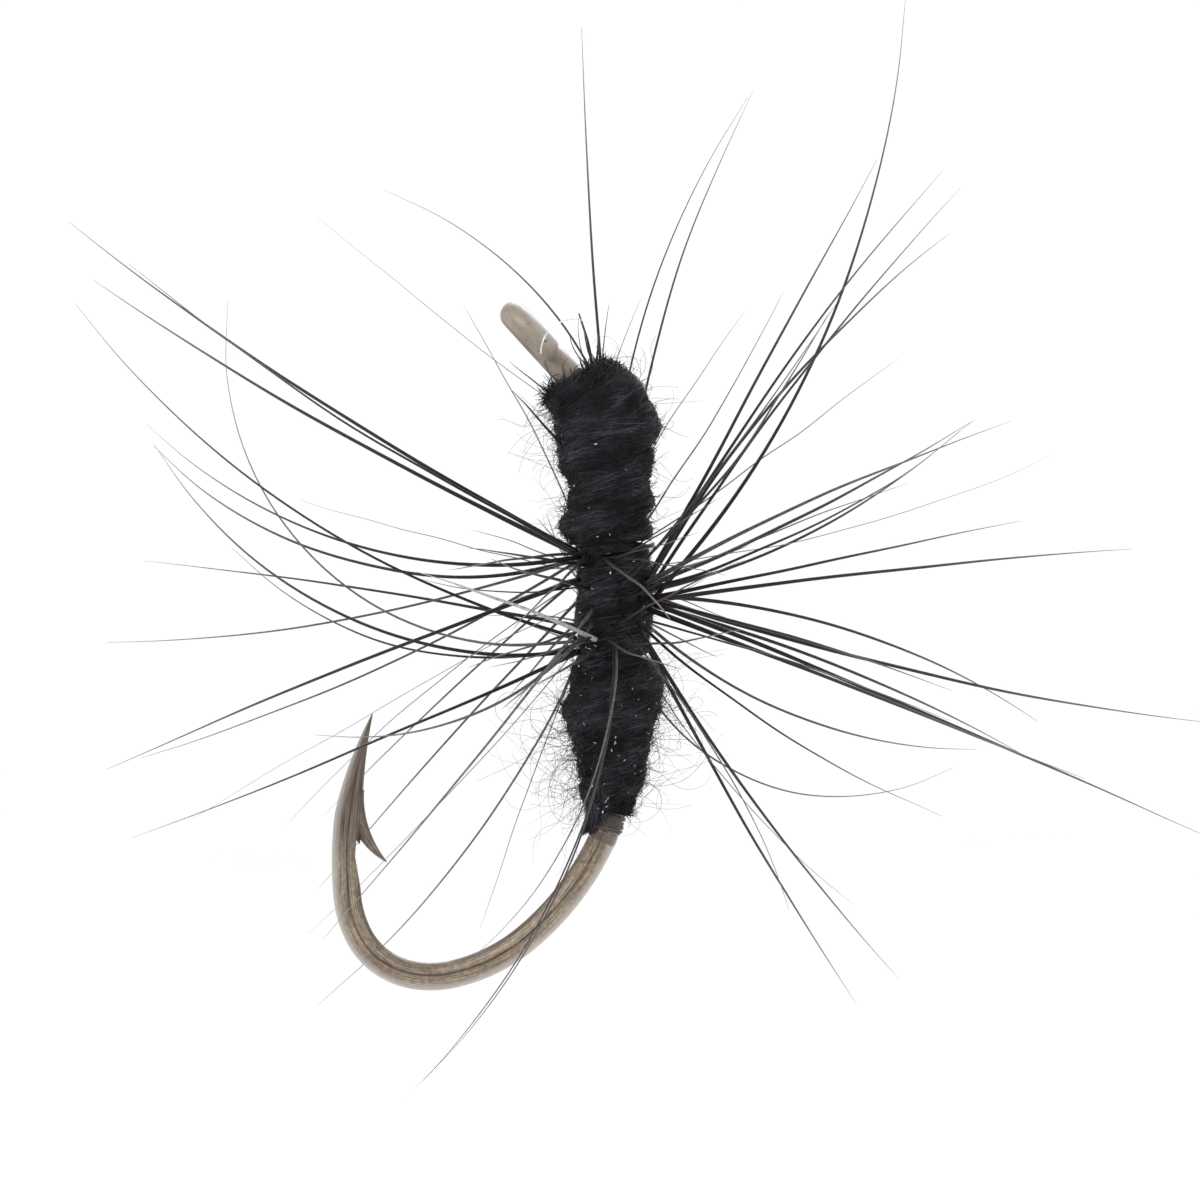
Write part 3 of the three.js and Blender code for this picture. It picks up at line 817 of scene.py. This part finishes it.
def wool_roots(winding, count, spread, lean, facing=None):
    """Roots on a stretch of a winding, and directions that lean at random from straight outward."""
    station = np.clip(random.uniform(*spread, count), *winding["span"])
    angle = random.uniform(0, 2 * np.pi, count)
    if facing is not None:
        angle = random.normal(facing, 0.5, count)
    roots = wool_surface(winding, station, angle, -0.04)
    _, back, heading = wire_at(station)
    outward = outward_from(back, angle)
    along = heading_vector(heading)
    leans = random.normal(0, lean, (count, 2))
    return roots, outward + along * leans[:, :1] + np.cross(along, outward) * leans[:, 1:]


def make_fuzz(name, winding, count, material):
    """Fine curly ends that stand off the wool."""
    roots, directions = wool_roots(winding, count, winding["span"], 1.0)
    lengths = 0.09 + random.gamma(1.1, 0.1, count)
    steps = 14
    paths = curly_paths(roots, directions, lengths, steps, 9.0)
    profile = 1 - 0.6 * np.linspace(0, 1, steps + 1) ** 2
    make_hairs(name + "_fuzz", paths, (0.005, 0.01), profile, 3, (1.2, 3.0), material)


# Long loose curls: winding, first and last station, side (0 back, pi gape), how many, mean length
CURLS = [
    ("thorax_wool", (0.12, 0.9), 0.6, 34, 0.9),
    ("thorax_wool", (0.12, 1.2), math.pi, 30, 1.0),
    ("thorax_wool", (1.0, 3.4), 0.0, 34, 0.8),
    ("thorax_wool", (1.0, 3.4), math.pi, 44, 1.0),
    ("abdomen_wool", (5.8, 7.4), 0.0, 60, 1.4),
    ("abdomen_wool", (6.6, 8.8), 0.0, 60, 1.5),
    ("abdomen_wool", (5.8, 7.6), math.pi, 50, 1.2),
    ("abdomen_wool", (7.0, 8.8), math.pi, 110, 2.0),
    ("abdomen_wool", (7.0, 8.8), math.pi / 2, 40, 1.4),
    ("abdomen_wool", (7.0, 8.8), -math.pi / 2, 16, 1.2),
]


def make_curls(material):
    """Long fine curls that drift away from the body, thickest at its tail end."""
    steps = 40
    paths = []
    for name, spread, facing, count, length in CURLS:
        roots, directions = wool_roots(WINDINGS[name], count, spread, 0.6, facing)
        lengths = length * random.uniform(0.5, 1.5, count)
        paths.append(curly_paths(roots, directions, lengths, steps, 3.2))
    paths = np.concatenate(paths)
    profile = 1 - 0.5 * np.linspace(0, 1, steps + 1) ** 2
    make_hairs("loose_curls", paths, (0.0025, 0.0045), profile, 4, (1.5, 2.0), material)


def make_head_tufts(material):
    """Tangled ends of wool round the neck, thickest on the gape side, where they hide its bend."""
    count = 1400
    steps = 12
    station = random.uniform(0.1, 0.42, count)
    angle = random.uniform(0, 2 * np.pi, count)
    gape = random.random(count) < 0.55
    angle[gape] = random.normal(math.pi, 0.8, gape.sum())
    depth = random.uniform(0.04, 0.26, count)
    roots = wool_surface(WINDINGS["thorax_wool"], np.maximum(station, 0.13), angle, -depth)
    _, back, heading = wire_at(station)
    outward = outward_from(back, angle)
    eyeward = -heading_vector(heading)
    gapeward = (0.5 - 0.5 * np.cos(angle))[:, None]
    lean = random.normal(0, 0.5, (count, 3))
    directions = eyeward * (0.8 + 0.5 * gapeward) + outward * (0.3 - 0.6 * gapeward) + lean
    lengths = 0.12 + random.gamma(1.6, 0.09, count)
    paths = curly_paths(roots, directions, lengths, steps, 9.0)
    profile = 1 - 0.7 * np.linspace(0, 1, steps + 1) ** 2
    make_hairs("head_tufts", paths, (0.006, 0.014), profile, 4, (1.2, 4.0), material)


WISP_ROOTS = (8.2, 8.8)
WISP_REACH = 9.42


def make_tail_wisps(material):
    """Ends of wool that run down over the tail thread on the gape side."""
    count = 420
    steps = 12
    share = np.linspace(0, 1, steps)
    first = random.uniform(*WISP_ROOTS, count)
    side = random.normal(math.pi, 0.75, count)
    reach = WISP_REACH - 0.26 * np.abs(side - math.pi) ** 1.5 + random.normal(0, 0.06, count)
    last = np.maximum(reach, first + 0.2)
    station = first[:, None] + (last - first)[:, None] * share
    angle = side[:, None] + np.cumsum(random.normal(0, 0.05, (count, steps)), axis=1)
    surface = body_reach(WINDINGS["abdomen_wool"], np.minimum(station, WISP_ROOTS[1]), angle)
    narrow = WIRE_RADIUS + 0.09
    slide = np.clip((station - 8.55) / 0.6, 0, 1)
    distance = surface + (narrow - surface) * slide + random.gamma(1.5, 0.012, count)[:, None]
    paths = around_wire(station, angle, distance)
    make_hairs("tail_wisps", paths, (0.008, 0.013), 1 - 0.6 * share**3, 3, (1.3, 3.2), material)


# Each ten specks of dust are shared out like this
SPECK_WOOLS = ["abdomen_wool"] * 6 + ["waist_wool"] * 2 + ["thorax_wool"] * 2


def make_specks(material):
    """Crumbs of pale dust on the wool."""
    count = 210
    roots = []
    for number in range(count):
        winding = WINDINGS[SPECK_WOOLS[number % len(SPECK_WOOLS)]]
        station = random.uniform(*winding["span"])
        roots.append(wool_surface(winding, station, random.uniform(0, 2 * np.pi), 0.06))
    roots = np.array(roots)
    steps = 4
    paths = curly_paths(roots, random.normal(size=(count, 3)), random.uniform(0.02, 0.09, count), steps, 9.0)
    radii = (0.004 + 0.01 * random.random(count) ** 2)[:, None] * np.array([0.5, 1.0, 0.8, 1.0, 0.4])
    points, faces, _ = tubes(paths, radii, 5)
    make_object("dust_specks", points, faces, material, "wool")


# ---- hackle

def node_line(name):
    """Centre line and radii of a fibre's CAD node, from its root to its tip, in millimetres."""
    mesh = nodes[name].data
    raw = np.array([vertex.co for vertex in mesh.vertices], float) / MM
    _, first, same = np.unique(np.round(raw, 5), axis=0, return_index=True, return_inverse=True)
    same = same.reshape(-1)
    points = raw[first]
    linked = [set() for _ in points]
    for edge in mesh.edges:
        one, other = (same[index] for index in edge.vertices)
        if one != other:
            linked[one].add(other)
            linked[other].add(one)
    spreads = [np.ptp(points[sorted(near)], axis=0).max() for near in linked]
    tip = int(np.argmin(spreads))
    layer = {tip}
    seen = {tip}
    centres = []
    radii = []
    while layer:
        ring = points[sorted(layer)]
        centres.append(ring.mean(axis=0))
        radii.append(np.linalg.norm(ring - centres[-1], axis=1).mean())
        layer = {near for index in layer for near in linked[index]} - seen
        seen |= layer
    return np.array(centres[::-1]), np.array(radii[::-1])


def smooth_line(points, steps):
    """Resamples a line evenly through a Catmull-Rom curve."""
    spread = np.vstack([2 * points[0] - points[1], points, 2 * points[-1] - points[-2]])
    share = np.linspace(0, len(points) - 1 - 1e-6, steps)
    index = share.astype(int)
    local = (share - index)[:, None]
    before, start, end, after = (spread[index + shift] for shift in range(4))
    return 0.5 * (
        2 * start
        + (end - before) * local
        + (2 * before - 5 * start + 4 * end - after) * local**2
        + (3 * start - before - 3 * end + after) * local**3
    )


def fibre_values(count, steps, corners, angle, pale=0.0):
    """Values that colour fibres: how far along them, how near an edge, and how pale their painted sheen is.
    """
    along = np.broadcast_to(np.linspace(0, 1, steps), (count, steps))
    edge = np.clip(np.abs(np.cos(angle)) * 1.5 - 0.62, 0, 1)
    fade = 1 - per_point(along, corners)
    return {
        "along": per_point(along, corners),
        "edge": edge * (0.25 + 0.75 * fade),
        "pale": per_point(np.broadcast_to(pale, (count, steps)), corners),
    }


def wavy(path, size):
    """Adds the small irregular bends of a real fibre, none at its root."""
    steps = len(path)
    share = np.linspace(0, 1, steps)
    length = np.linalg.norm(np.diff(path, axis=0), axis=1).sum()
    sides = unit(random.normal(size=(2, 3)))
    wobble = np.zeros((steps, 3))
    for side in sides:
        for cycles in (0.7, 1.9, 3.7):
            size_here = size * length / cycles**1.3
            wobble += side * (size_here * np.sin(2 * np.pi * (cycles * share + random.uniform())))[:, None]
    return path + (wobble - wobble[0]) * np.minimum(share * 4, 1)[:, None]


# How pale the painted sheen on some fibres is, and how wide they are beside their CAD nodes, by number.
# Only a fibre whose sheen is at least as pale as WHOLLY_PALE is pale at its root too.
FIBRE_LOOKS = {
    10: (0.12, 1.1), 22: (0.08, 0.95), 24: (0.12, 0.95), 27: (0.02, 0.6), 28: (0.05, 0.65),
    29: (0.2, 0.6), 30: (0.22, 0.8), 31: (0.25, 0.8), 32: (0.1, 0.8), 33: (0.1, 0.85),
    35: (0.16, 1.0), 37: (0.12, 0.75), 38: (0.12, 0.8), 44: (0.2, 0.75), 49: (0.85, 0.9),
}
WHOLLY_PALE = 0.5
FIBRE_CORNERS = 8
FIBRE_STEPS = 44


def make_fibre(name, material):
    """One long hackle fibre on its CAD node's line: flattened, twisted and tapered to a hair."""
    line, node_radii = node_line(name)
    path = wavy(smooth_line(line, FIBRE_STEPS), 0.0022)
    share = np.linspace(0, 1, FIBRE_STEPS)
    pale, width = FIBRE_LOOKS.get(int(name[-2:]), (0.0, 1.0))
    # The painted sheen of all but the palest fibres fades in from the root.
    if pale < WHOLLY_PALE:
        pale = pale * np.clip(4 * share, 0, 1)
    root = width * node_radii[1:4].max()
    radii = 1.08 * root * (1 - share) ** 0.85 * (0.92 + 0.08 * np.cos(share * 9)) + 0.0035
    radii *= 0.8 + 0.2 * np.minimum(share * 8, 1)
    twist = random.uniform(-0.5, 0.5) + random.normal(0, 0.5) * share
    toward = unit(np.cross(path[1] - path[0], FAR) + 1e-9)
    points, faces, angle = tubes(
        path[None], radii[None], FIBRE_CORNERS, flatness=0.62, twist=twist[None], first_side=toward
    )
    values = fibre_values(1, FIBRE_STEPS, FIBRE_CORNERS, angle, pale)
    make_object(name + "_hair", points, faces, material, "feather", [name], values)


def direction(heading, depth):
    """A unit vector at a heading in the hook's plane and a depth toward the far side."""
    depth = np.radians(depth)
    return heading_vector(heading) * np.cos(depth)[..., None] + FAR * np.sin(depth)[..., None]


def bent_path(root, headings, depths, length, steps):
    """A path that turns evenly from its first heading and depth to its last."""
    middle = (np.arange(steps - 1) + 0.5) / (steps - 1)
    heading = headings[0] + (headings[1] - headings[0]) * middle
    depth = depths[0] + (depths[1] - depths[0]) * middle
    strides = direction(heading, depth) * length / (steps - 1)
    return root + np.vstack([np.zeros(3), np.cumsum(strides, axis=0)])


ROOT_DEPTH = 0.06


def body_root(station, heading, depth):
    """A root on the body at a station, on the side that a fibre points to."""
    pointing = direction(heading, depth)
    _, back, _ = wire_at(station)
    angle = math.atan2(pointing @ FAR, pointing @ back)
    name = next((key for key in WINDINGS if station <= WINDINGS[key]["span"][1]), "abdomen_wool")
    station = max(station, WINDINGS[name]["span"][0])
    return around_wire(station, angle, body_reach(WINDINGS[name], station, angle) - ROOT_DEPTH)


# Fibres with no CAD node: thin ones beside the long ones, thick ones on the waist's near side, and
# bristles at the head. Each: station, heading at root and tip, depth at root and tip, length, root
# radius, paleness of its painted sheen.
THIN_FIBRES = [
    (3.6, 36, 33, 34, 30, 7.8, 0.022, 0.1),
    (4.3, 188, 166, -48, -40, 4.6, 0.03, 0.0),
    (0.3, 146, 139, -16, -8, 6.2, 0.012, 0.35),
    (4.5, 46, 58, -60, -22, 10.0, 0.044, 0.0),
    (4.3, 40, 62, -58, -26, 9.5, 0.04, 0.0),
    (4.7, 28, 18, -60, -30, 9.0, 0.04, 0.0),
    (4.9, -10, -24, -60, -26, 9.5, 0.044, 0.0),
    (4.1, 214, 226, 30, 26, 9.0, 0.016, 0.25),
    (4.6, 205, 212, -35, -30, 10.5, 0.012, 0.5),
    (5.3, 232, 222, 35, 30, 9.8, 0.014, 0.35),
    (5.5, 246, 252, 20, 20, 6.5, 0.016, 0.2),
    (5.4, -62, -38, 24, 20, 7.6, 0.016, 0.25),
    (5.2, -50, -70, -40, -34, 8.0, 0.018, 0.2),
    (4.0, 8, 24, -22, -20, 9.0, 0.016, 0.3),
    (3.7, 52, 66, 40, 36, 8.0, 0.018, 0.15),
    (3.6, 70, 52, 54, 44, 8.6, 0.02, 0.15),
    (3.7, 112, 120, 52, 40, 8.2, 0.018, 0.2),
    (4.0, 172, 160, 50, 44, 8.6, 0.016, 0.25),
    (0.15, 118, 84, -12, -8, 1.1, 0.014, 0.0),
    (0.2, 86, 80, 20, 14, 1.3, 0.014, 0.0),
    (0.35, 72, 66, -20, -12, 1.6, 0.012, 0.0),
    (1.5, 128, 136, -20, -12, 1.6, 0.044, 0.0),
    (0.15, 140, 142, -8, -4, 1.15, 0.03, 0.0),
    (0.12, 112, 96, -10, -16, 0.75, 0.03, 0.0),
    (0.12, 78, 96, 10, 6, 0.6, 0.024, 0.0),
]
DEPTH_FIBRES = 42
THIN_STEPS = 24
THIN_CORNERS = 5


def spray_fibre(number):
    """One fibre of the spray, laid out as a row of THIN_FIBRES; every third comes toward the front."""
    side = -1 if number % 3 == 0 else 1
    heading = 360 * number / DEPTH_FIBRES + random.uniform(-8, 8)
    if side < 0:
        # Front fibres keep to the left and right, so that they leave the body in view.
        heading = 90 * (1 - math.copysign(1, math.cos(math.radians(heading)))) + random.uniform(-40, 32)
    depth = side * random.uniform(66, 83)
    station = random.uniform(QUILL[0] + 0.1, QUILL[1] - 0.1)
    length = random.uniform(5.0, 7.4)
    return station, heading, heading + random.normal(0, 14), depth, depth - side * 12, length


def make_thin_fibres(material):
    """The thin fibres listed one by one, then a seeded spray that fills the hackle toward and away."""
    paths = []
    looks = []
    for number in range(len(THIN_FIBRES) + DEPTH_FIBRES):
        by_hand = number < len(THIN_FIBRES)
        row = THIN_FIBRES[number] if by_hand else spray_fibre(number - len(THIN_FIBRES))
        station, first, last, near, far, length = row[:6]
        root = body_root(station, first, near)
        paths.append(wavy(bent_path(root, (first, last), (near, far), length, THIN_STEPS), 0.004))
        looks.append(row[6:] if by_hand else (random.uniform(0.026, 0.042), random.uniform(0, 0.06)))
    thickness, pale = np.array(looks).T[:, :, None]
    share = np.linspace(0, 1, THIN_STEPS)
    radii = thickness * (1 - share) ** 0.6 + 0.003
    points, faces, angle = tubes(np.array(paths), radii, THIN_CORNERS, flatness=0.6)
    # The painted sheen fades in from the root.
    pale = pale * np.clip(4 * share, 0, 1)
    values = fibre_values(len(paths), THIN_STEPS, THIN_CORNERS, angle, pale)
    make_object("thin_hackle_fibres", points, faces, material, "feather", values=values)


def make_white_curl(material):
    """The one pale curl that stands in front of the eye's neck."""
    steps = 24
    path = bent_path(np.array([0.16, -0.88, -0.36]), (92, -32), (-14, 24), 1.45, steps)
    radii = 0.026 * (1 - np.linspace(0, 1, steps)) ** 0.5 + 0.004
    points, faces, _ = tubes(path[None], radii[None], 6, flatness=0.7, first_side=FAR)
    make_object("pale_curl", points, faces, material, "feather")


def make_quill(material):
    """The feather stem wound round the waist."""
    steps = QUILL_TURNS * 60
    share = np.linspace(0, 1, steps)
    station = QUILL[0] + (QUILL[1] - QUILL[0]) * share
    angle = WINDING_HAND * 2 * np.pi * QUILL_TURNS * share
    centre = around_wire(station, angle, np.full(steps, QUILL_DISTANCE))
    _, back, _ = wire_at(station)
    path = centre + back * smooth_blend(WINDINGS["waist_wool"]["offset"], station)[:, None]
    radii = QUILL_RADIUS * (1 - 0.5 * share)
    points, faces, ring_angle = tubes(path[None], radii[None], 8, flatness=0.8, first_side=FAR)
    values = fibre_values(1, steps, 8, ring_angle)
    values["along"] = values["along"] * 0.4
    values["edge"] = values["edge"] * 0.1
    make_object("wound_stem", points, faces, material, "feather", ["hackle_quill"], values)


def make_butt(material):
    """The cut end of the stem, left standing at the head."""
    line, node_radii = node_line("quill_butt")
    steps = 20
    path = wavy(smooth_line(line, steps), 0.004)
    radii = node_radii[1] * (1 - np.linspace(0, 1, steps)) ** 0.7 + 0.004
    points, faces, angle = tubes(path[None], radii[None], 8, flatness=0.6, first_side=FAR)
    values = fibre_values(1, steps, 8, angle)
    make_object("stem_butt", points, faces, material, "feather", ["quill_butt"], values)


# ---- stage, lights and camera

STAGE_GLOW = 0.12
FRAME_WIDTH = 24.0
FRAME_CENTRE = (1.34, -5.28)
CAMERA_LENS = 900.0
CAMERA_SENSOR = 36.0
FLOOR_DROP = 6.0
STAGE_RADIUS = 1400.0
STAGE_CURVE = 240.0
STAGE_HEIGHT = 900.0


def make_stage():
    """A pale round floor that curves up into a wall, the same from every side."""
    low = cad_box[0].z / MM - FLOOR_DROP
    turn = np.linspace(0, np.pi / 2, 24)
    radius = np.concatenate([[0.5, 40, 200, 600], STAGE_RADIUS - STAGE_CURVE * (1 - np.sin(turn))])
    height = np.concatenate([[0, 0, 0, 0], STAGE_CURVE * (1 - np.cos(turn))])
    radius = np.append(radius, STAGE_RADIUS)
    height = np.append(height, STAGE_HEIGHT)
    angle = full_turn(96)
    across = radius[:, None] * np.cos(angle)
    along = radius[:, None] * np.sin(angle)
    rings = np.stack([across, along, low + height[:, None] * np.ones_like(angle)], axis=-1)
    centre_cap = np.arange(len(angle))[None, ::-1]
    faces = [ring_quads(*rings.shape[:2])[:, ::-1], centre_cap]
    floor = make_object("paper_floor", rings.reshape(-1, 3), faces, stage_material())


def make_light(name, place, aim, size, power):
    """An oblong lamp at a place in millimetres, turned toward its aim."""
    light = bpy.data.lights.new(name, "AREA")
    light.shape = "RECTANGLE"
    light.size = size[0] * MM
    light.size_y = size[1] * MM
    light.energy = power
    lamp = add_object(name, light)
    lamp.location = Vector(place) * MM
    lamp.rotation_euler = (Vector(aim) - Vector(place)).to_track_quat("-Z", "Y").to_euler()


def make_lights():
    """Three large soft lamps in a white room."""
    centre = (1.0, 0.0, -6.0)
    make_light("key", (-260, -300, 330), centre, (260, 260), 1.3)
    make_light("fill", (320, -260, 60), centre, (200, 300), 0.5)
    make_light("rim", (60, 340, 260), centre, (300, 200), 1.0)
    world = bpy.data.worlds.new("studio")
    world.use_nodes = True
    background = world.node_tree.nodes["Background"]
    background.inputs["Color"].default_value = (1.0, 1.0, 1.0, 1.0)
    background.inputs["Strength"].default_value = 1.0
    bpy.context.scene.world = world


def make_camera():
    """A long lens level with the fly, square to the hook's plane."""
    camera = bpy.data.cameras.new("camera")
    camera.lens = CAMERA_LENS
    camera.sensor_width = CAMERA_SENSOR
    distance = FRAME_WIDTH * CAMERA_LENS / CAMERA_SENSOR
    camera.clip_start = 0.001
    camera.clip_end = 10.0
    holder = add_object("camera", camera)
    holder.location = Vector((FRAME_CENTRE[0], -distance, FRAME_CENTRE[1])) * MM
    holder.rotation_euler = (math.radians(90), 0, 0)
    bpy.context.scene.camera = holder


# ---- assembly

bronze = hook_material()
core_wool = wool_material()
strand_wool = strand_material("wool_strands", (0.0035, 0.0035, 0.0045), (0.06, 0.062, 0.075))
fuzz_wool = strand_material("wool_fuzz", (0.006, 0.005, 0.005), (0.06, 0.05, 0.048))
feather = feather_material()
thread = thread_material()
cement = cement_material()

make_hook(bronze)
make_collar("head_thread", HEAD_THREAD, thread)
make_collar("tail_thread", TAIL_THREAD, thread)
make_cement("head_cement", HEAD_CEMENT, cement)
make_cement("tail_cement", TAIL_CEMENT, cement)
for wool_name, wool_winding in WINDINGS.items():
    make_core(wool_name, wool_winding, core_wool)
    make_strands(wool_name, wool_winding, STRANDS[wool_name], strand_wool)
    make_fuzz(wool_name, wool_winding, FUZZ[wool_name], fuzz_wool)
make_curls(fuzz_wool)
make_head_tufts(strand_wool)
make_tail_wisps(strand_wool)
dust = speck_material()
make_specks(dust)
for node_name in sorted(nodes):
    if node_name.startswith("hackle_fibre"):
        make_fibre(node_name, feather)
make_thin_fibres(feather)
make_white_curl(dust)
make_quill(feather)
make_butt(feather)

# The hidden thread base keeps its CAD shape
nodes["thread_base"].data.materials.clear()
nodes["thread_base"].data.materials.append(thread)

make_stage()
make_lights()
make_camera()
bpy.context.scene.view_settings.view_transform = "Standard"
